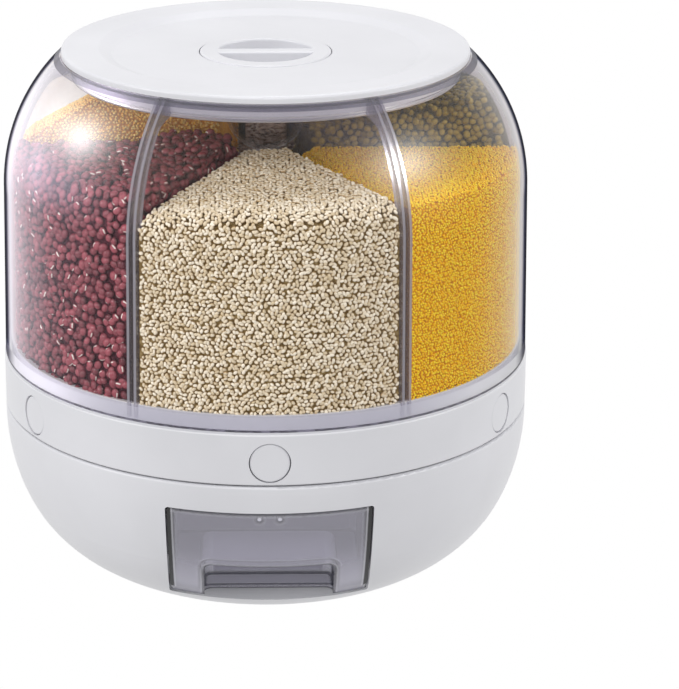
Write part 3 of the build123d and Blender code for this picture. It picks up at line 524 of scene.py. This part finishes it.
# Faces of the neck, and of the foot below the tray's lip, where the milky lilac plastic paints shade on the white
# lip seen through the wall
neck_and_shaded_foot = (middles[:, 2] < lip_top) | (np.hypot(middles[:, 0], middles[:, 1]) < neck_zone)
kind = np.tile(kinds, len(shell_quads) // len(kinds))
kind = np.where(neck_and_shaded_foot & (kind != PAINTED_SHADE), MILKY, kind)
kind = np.append(kind, np.full(len(rib_quads), RIB))
jar.data.polygons.foreach_set("material_index", kind.astype(np.int32))
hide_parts("jar_shell")
jar.visible_shadow = jar.visible_diffuse = False


# Grain

# Where the grain ends: about the wall's radius, the bare hub, and clearances to floor, wall, ribs and dividers
wall_reach = 118.0
hub_bare = 22.0
floor_gap, wall_gap, heap_gap, rib_gap, divider_gap = 0.5, 0.6, 0.5, 0.2, 1.1
layer_gap, layer_drop = 0.4, 1.0
# Rectangles that the grains are strewn over: round the wall, over the heap and along a divider
overhang, wall_span = 4.0, 140.0
heap_start, heap_length, heap_width = 8.0, 120.0, 130.0
divider_length, divider_span = 120.0, 60.0
# The brink of the heap, where the grains lean out to the wall
brink_radius, brink_width, brink_lean = 98.0, 18.0, 1.3
# Most triangles in one piece of grain
piece_limit = 180000


def floor_height(radius):
    """Height of the hopper floor: flat outside the cone's foot, rising evenly to the cone's top."""
    share = np.clip((cone_foot - radius) / (cone_foot - cone_top_radius), 0, 1)
    return floor_top + share * (cone_top - floor_top)


def wedge(share, angle, limit, margin):
    """Distance outwards and sideways in a compartment whose sides lie a margin inside the dividers: a share of
    the way from the wedge's point to a circle of the limit radius, at an angle from its middle."""
    point = 2 * margin
    turn = np.radians(angle)
    reach = np.sqrt(limit**2 - (point * np.sin(turn)) ** 2) - point * np.cos(turn)
    return point + share * reach * np.cos(turn), share * reach * np.sin(turn)


def bed(name, k, level, margin, inset, material):
    """Closed body of packed grain in a compartment, from the hopper floor up to its level and out to the wall."""
    hub_share = 0.17
    unit, quads = box_skin(24, 24, 24)
    angle = (unit[:, 0] - 0.5) * compartment_angle
    share = hub_share + (1 - hub_share) * unit[:, 1]
    guess = share * wall_reach
    top = level(guess, angle) - inset
    low = floor_height(guess) + floor_gap
    height = low + unit[:, 2] * (top - low)
    limit = inner_radius(height) - np.where(height < lip_top + floor_gap, lip_reach, wall_gap) - inset
    out, side = wedge(share, angle, limit, margin)
    points = arranged(compartment_angle * (k - 1), out, side, height)
    return surface(name, points, quads[:, ::-1], [material], "turntable", sharp=50.0)


def scatter_grid(width, height, spacing, rng):
    """Places on a triangular grid over a rectangle, each shaken by up to a third of the spacing."""
    rows = np.arange(0, height, spacing * math.sqrt(0.75))
    columns = np.arange(0, width, spacing)
    across, up = np.meshgrid(columns, rows)
    across = across + np.where(np.arange(len(rows)) % 2, spacing / 2, 0)[:, None]
    shake = rng.uniform(-0.3, 0.3, (2, *across.shape)) * spacing
    return (across + shake[0]).ravel(), (up + shake[1]).ravel()


def heap_places(level, size, spacing, sides, rng):
    """Centres and outward directions of the grains that show in one compartment: on the wall, over the top of
    the heap, and on a divider above the height where the neighbour ends."""
    half = size[2] / 2
    # On the wall, facing out along its slope
    arc = math.radians(compartment_angle) * wall_reach
    across, up = scatter_grid(arc + 2 * overhang, wall_span, spacing, rng)
    height = lip_top - layer_drop + up
    radius = inner_radius(height) - layer_gap - half * (1 + 0.5 * rng.random(len(up)))
    turn = (across - arc / 2 - overhang) / radius
    out, side = radius * np.cos(turn), radius * np.sin(turn)
    edge = out * side_sin - np.abs(side) * side_cos
    keep = edge > rib_offset + rib_width + rib_gap + half
    keep &= height < level(radius, np.degrees(turn)) - half / 2
    slope = np.where(height > shoulder_z, (height - shoulder_z) / shoulder_radius, 0.0)
    flat = np.sqrt(1 - slope**2)
    places = [np.stack([out, side, height], 1)[keep]]
    directions = [np.stack([np.cos(turn) * flat, np.sin(turn) * flat, slope], 1)[keep]]
    # Over the top, facing up and leaning out at the brink
    along, across = scatter_grid(heap_length, heap_width, spacing, rng)
    out, side = along + heap_start, across - heap_width / 2
    radius = np.hypot(out, side)
    height = level(radius, np.degrees(np.arctan2(side, out))) + rng.uniform(-0.35, 0.1, len(out)) * size[2]
    edge = out * side_sin - np.abs(side) * side_cos
    keep = (edge > divider_gap + half) & (radius > hub_bare)
    keep &= radius < inner_radius(height + half) - half - heap_gap
    lean = brink_lean * np.clip((radius - brink_radius) / brink_width, 0, 1) / radius
    places.append(np.stack([out, side, height], 1)[keep])
    directions.append(np.stack([lean * out, lean * side, np.ones(len(out))], 1)[keep])
    # On the dividers, facing the neighbour
    for way, low in sides.items():
        along, up = scatter_grid(divider_length, divider_span, spacing, rng)
        height = low + up
        away = divider_gap + half * (1 + 0.5 * rng.random(len(up)))
        out = along * side_cos + away * side_sin
        side = way * (along * side_sin - away * side_cos)
        radius = np.hypot(out, side)
        keep = (radius > hub_bare) & (radius < inner_radius(height + half) - half - rib_depth)
        keep &= height < level(radius, np.degrees(np.arctan2(side, out))) - half / 2
        places.append(np.stack([out, side, height], 1)[keep])
        directions.append(np.broadcast_to((-side_sin, way * side_cos, 0.0), (keep.sum(), 3)))
    return np.vstack(places), np.vstack(directions)


def grains(name, k, places, directions, size, detail, material, rng):
    """Grains of three axes set at places in one compartment, lying flat to their directions, turned at random
    about them and tilted a little. Each is a box blown up to an ellipsoid."""
    tilt, darkest, palest = 0.22, 0.0, 0.85
    unit, quads = box_skin(detail, detail, detail)
    ball = np.tan((unit - 0.5) * math.pi / 2)
    ball /= np.linalg.norm(ball, axis=1)[:, None]
    count = len(places)
    up = directions + rng.normal(0, tilt, (count, 3))
    up /= np.linalg.norm(up, axis=1)[:, None]
    first = np.cross(up, rng.normal(0, 1, (count, 3)))
    first /= np.linalg.norm(first, axis=1)[:, None]
    second = np.cross(up, first)
    half = np.asarray(size) / 2 * rng.uniform(0.88, 1.1, (count, 1)) * rng.uniform(0.94, 1.06, (count, 3))
    shape = ball[None] * half[:, None]
    points = places[:, None] + shape[..., :1] * first[:, None] + shape[..., 1:2] * second[:, None]
    points = (points + shape[..., 2:] * up[:, None]).reshape(-1, 3)
    points = arranged(compartment_angle * (k - 1), points[:, 0], points[:, 1], points[:, 2])
    faces = (quads[None] + (np.arange(count) * len(ball))[:, None, None]).reshape(-1, 4)
    piece = surface(name, points, faces, [material], "turntable", sharp=0)
    tones = np.repeat(rng.uniform(darkest, palest, count), len(ball)).astype(np.float32)
    piece.data.attributes.new("tone", "FLOAT", "POINT").data.foreach_set("value", tones)
    local = np.tile(ball, (count, 1)).astype(np.float32).ravel()
    piece.data.attributes.new("local", "FLOAT_VECTOR", "POINT").data.foreach_set("vector", local)
    return piece


def fill(k, name, level, size, spacing, detail, skin, bed_material, sides=None):
    """Bed and first layer of grain in one compartment, the layer in pieces of few enough triangles. Sides gives
    the height from which grain shows on the divider to the left, -1, or to the right, 1."""
    rng = np.random.default_rng(k)
    margin, inset = max(1.2 + 0.6 * size[2], 2.6), size[2] * 0.55
    pieces = [bed(f"{name}_bed", k, level, margin, inset, bed_material)]
    places, directions = heap_places(level, size, spacing, sides or {}, rng)
    most = piece_limit // (12 * detail * detail)
    for i, start in enumerate(range(0, len(places), most)):
        chosen = slice(start, start + most)
        layer = places[chosen], directions[chosen]
        pieces.append(grains(f"{name}_{i + 1}", k, *layer, size, detail, skin, rng))
    return pieces


def sesame_level(radius, angle):
    """Nearly flat, rounded off at the wall and lowest at the wall's left end."""
    middle, fall, left_fall, rounding = 215.5, 3.2, 6.5, 4.0
    left = (np.clip(-angle, 0, 30) / 30) ** 2
    brink = np.clip((radius - 106) / 12, 0, 1) ** 2
    return middle - (radius / 115) * (fall + left_fall * left) - rounding * brink


def millet_level(radius, angle):
    """Flat."""
    return np.full(np.shape(radius), 210.5)


def mung_level(radius, angle):
    """Banked up towards the wall."""
    low, bank = 213.0, 0.2
    return low + bank * radius


def rice_level(radius, angle):
    """Flat, a little higher at the hub."""
    high, fall = 200.0, 0.03
    return high - fall * radius


def grits_level(radius, angle):
    """A ridge two thirds of the way out, falling steeply to the wall."""
    ridge, ridge_radius, rise, fall = 232.5, 80.0, 0.13, 0.58
    away = radius - ridge_radius
    return ridge + np.where(away < 0, rise, -fall) * away


def adzuki_level(radius, angle):
    """Flat, with a low step up to the hub."""
    level, fall, step, step_radius, step_width = 214.0, 0.01, 4.0, 60.0, 15.0
    away = radius - step_radius
    return level - fall * away + step * np.clip(-away / step_width, 0, 1)


# Grain that the lamps for the contents reach
contents = []
# Cream hulled seeds: pale satin ovals, with painted tan shade at their rims and in the gaps
seed = grain_skin("cream_seed", "ac9064", "d4c2a0", "f8f0de", 0.42, 0.3)
seed_bed = bed_skin("cream_seed_bed", "66502c", "9c865a", 2.0)
contents += fill(1, "seeds", sesame_level, (2.6, 1.75, 1.5), 1.95, 2, seed, seed_bed)
# Golden millet: small bright beads, close together, with painted orange shade at their rims and in the gaps
millet = grain_skin("golden_millet", "f0b000", "fec600", "ffea30", 0.42, 0.08)
millet_bed = bed_skin("golden_millet_bed", "c48000", "eab000", 1.5)
contents += fill(2, "millet", millet_level, (1.55, 1.45, 1.4), 1.36, 1, millet, millet_bed)
# Green mung beans: olive, with painted dark shade at their rims and in the gaps
mung = grain_skin("green_mung", "5a4c18", "7c6824", "ac9648", 0.32)
mung_bed = bed_skin("green_mung_bed", "443a1a", "6c5c2e", 4.0)
contents += fill(3, "mung", mung_level, (4.1, 3.4, 3.3), 3.4, 2, mung, mung_bed, {-1: 207, 1: 202})
# Brown rice: long dull grains at the back, which stay in the shade, with painted shade at their rims and in the
# gaps
rice = grain_skin("brown_rice", "6e5850", "8e766c", "b8a094", 0.38)
rice_bed = bed_skin("brown_rice_bed", "5c483e", "7c665a", 2.8)
fill(4, "rice", rice_level, (5.8, 2.1, 1.9), 2.8, 2, rice, rice_bed)
# Yellow maize grits: small and mealy, with painted shade at their rims and in the gaps
grits = grain_skin("maize_grits", "f0b048", "fec650", "ffe690", 0.48)
grits_bed = bed_skin("maize_grits_bed", "dc9a38", "f0b850", 1.8)
contents += fill(5, "grits", grits_level, (1.9, 1.7, 1.5), 1.65, 1, grits, grits_bed, {-1: 202, 1: 210})
# Red adzuki beans: glossy and dark, some with their pale scar in sight, with painted shade at their rims and in
# the gaps
adzuki = grain_skin("red_adzuki", "381018", "642430", "a04c58", 0.26, 0.5, "ece4de")
adzuki_bed = bed_skin("red_adzuki_bed", "38121e", "5c2632", 4.2)
contents += fill(6, "adzuki", adzuki_level, (4.9, 4.1, 3.9), 4.1, 3, adzuki, adzuki_bed, {1: 200})


# Floor, light and camera


def seen(tree):
    """Whether a ray comes from the camera, from gloss or through glass."""
    path = add(tree, "ShaderNodeLightPath").outputs
    links = {0: path["Is Camera Ray"], 1: path["Is Glossy Ray"]}
    shown = add(tree, "ShaderNodeMath", links, operation="MAXIMUM").outputs[0]
    links = {0: shown, 1: path["Is Transmission Ray"]}
    return add(tree, "ShaderNodeMath", links, operation="MAXIMUM").outputs[0]


def stage_white():
    """Pale floor, lit from below like a light table, that reads as white paper to the camera and in gloss."""
    material, tree, output = new_material("white_paper")
    glow = add(tree, "ShaderNodeEmission", Strength=0.62)
    bright = add(tree, "ShaderNodeEmission", Strength=1.0)
    mixed = add(tree, "ShaderNodeMixShader", {0: seen(tree), 1: glow.outputs[0], 2: bright.outputs[0]})
    tree.links.new(mixed.outputs[0], output.inputs["Surface"])
    return material


floor_half = 4.0
floor_corners = [(floor_half * x, floor_half * y, 0) for x, y in ((-1, -1), (1, -1), (1, 1), (-1, 1))]
floor_mesh = bpy.data.meshes.new("floor")
floor_mesh.from_pydata(floor_corners, [], [(0, 1, 2, 3)])
floor_mesh.materials.append(stage_white())
floor = bpy.data.objects.new("floor", floor_mesh)
scene.collection.objects.link(floor)

scene.world = bpy.data.worlds.new("studio")
scene.world.use_nodes = True
air = scene.world.node_tree
air.nodes.clear()
ambient = add(air, "ShaderNodeBackground", Color=srgb("f8f8fa"), Strength=0.48)
paper = add(air, "ShaderNodeBackground", Color=srgb("ffffff"), Strength=1.0)
sky = add(air, "ShaderNodeMixShader", {0: seen(air), 1: ambient.outputs[0], 2: paper.outputs[0]})
add(air, "ShaderNodeOutputWorld", {"Surface": sky.outputs[0]})


def linked(name, pieces, state):
    """Collection that says which pieces a lamp reaches or leaves out."""
    group = bpy.data.collections.new(name)
    for piece in pieces:
        group.objects.link(piece)
    for member in group.collection_objects:
        member.light_linking.link_state = state
    return group


def softbox(name, group, place, target, size, power, diffuse=True, gloss=True, colour="ffffff"):
    """Area light aimed from a place at a target, in metres, that reaches a group of pieces and can show in matt
    or in glossy surfaces alone."""
    light = bpy.data.lights.new(name, "AREA")
    light.shape, light.energy = "ELLIPSE", power
    light.size, light.size_y = size
    light.color = srgb(colour)[:3]
    lamp = bpy.data.objects.new(name, light)
    lamp.visible_diffuse, lamp.visible_glossy = diffuse, gloss
    lamp.light_linking.receiver_collection = group
    lamp.location = place
    lamp.rotation_euler = (Vector(target) - Vector(place)).to_track_quat("-Z", "Y").to_euler()
    scene.collection.objects.link(lamp)


drawer = nodes["drawer_bin"]
glazing = [jar, *(nodes[f"divider_{k + 1}"] for k in range(compartments))]
# Lamps for everything but the jar, the dividers and the drawer
body = linked("not_glazing", [*glazing, drawer], "EXCLUDE")
softbox("left", body, (-1.7, -0.7, 1.0), (0, 0, 0.15), size=(0.9, 1.3), power=16)
softbox("right", body, (1.8, -0.5, 0.9), (0, 0, 0.15), size=(0.9, 1.3), power=14)
softbox("top", body, (0.0, 0.1, 1.8), (0, 0, 0.2), size=(1.2, 1.2), power=9)
softbox("front", body, (-0.3, -1.6, 1.3), (0, 0, 0.1), size=(0.9, 0.7), power=7.5)
softbox("low", body, (0.1, -2.1, 0.14), (0, 0, 0.06), size=(0.8, 0.2), power=1.2)
# Lamps for the jar, the dividers and the grain in front, and one for the drawer, that leave no mirror image
inside = linked("inside", [*glazing, *contents], "INCLUDE")
softbox("inside_front", inside, (-0.2, -1.9, 0.6), (0, 0, 0.17), size=(1.2, 0.7), power=3.4, gloss=False)
softbox("inside_left", inside, (-1.7, -0.5, 0.6), (-0.05, 0, 0.2), size=(0.8, 0.8), power=6, gloss=False)
bin_only = linked("drawer", [drawer], "INCLUDE")
softbox("drawer_front", bin_only, (0.0, -1.6, 1.2), (0, -0.1, 0.05), size=(0.8, 0.5), power=9, gloss=False)
# Mirror images of two lamps on the jar's shoulder, and a haze on its left
shine = linked("on_glazing", glazing, "INCLUDE")
spot = (0.12, 0.12)
left_place, left_target = (-1.156, 0.161, 0.718), (-0.083, -0.075, 0.235)
right_place, right_target = (1.062, -0.495, 0.756), (0.059, -0.098, 0.229)
haze_place, haze_target = (-1.6, 0.3, 0.3), (-0.08, -0.07, 0.17)
softbox("glare_left", shine, left_place, left_target, spot, power=36, diffuse=False)
softbox("glare_right", shine, right_place, right_target, spot, power=32, diffuse=False)
softbox("haze_left", shine, haze_place, haze_target, (1.0, 0.5), power=24, diffuse=False, colour="ece0fa")

# Camera, in metres from the turntable's axis and the table, turned a little and looking down
camera_distance, camera_height = 1.3712, 0.5938
camera_turn, camera_dip = math.radians(0.9), math.radians(20.4)
camera_data = bpy.data.cameras.new("camera")
camera_data.lens, camera_data.sensor_width = 158.51, 36.0
camera_data.shift_x, camera_data.shift_y = 0.1073, 0.0806
camera_data.clip_end = 20.0
camera = bpy.data.objects.new("camera", camera_data)
camera.location = (
    -camera_distance * math.sin(camera_turn),
    -camera_distance * math.cos(camera_turn),
    camera_height,
)
camera.rotation_euler = (math.pi / 2 - camera_dip, 0.0, -camera_turn)
scene.collection.objects.link(camera)
scene.camera = camera
scene.view_settings.view_transform = "Standard"
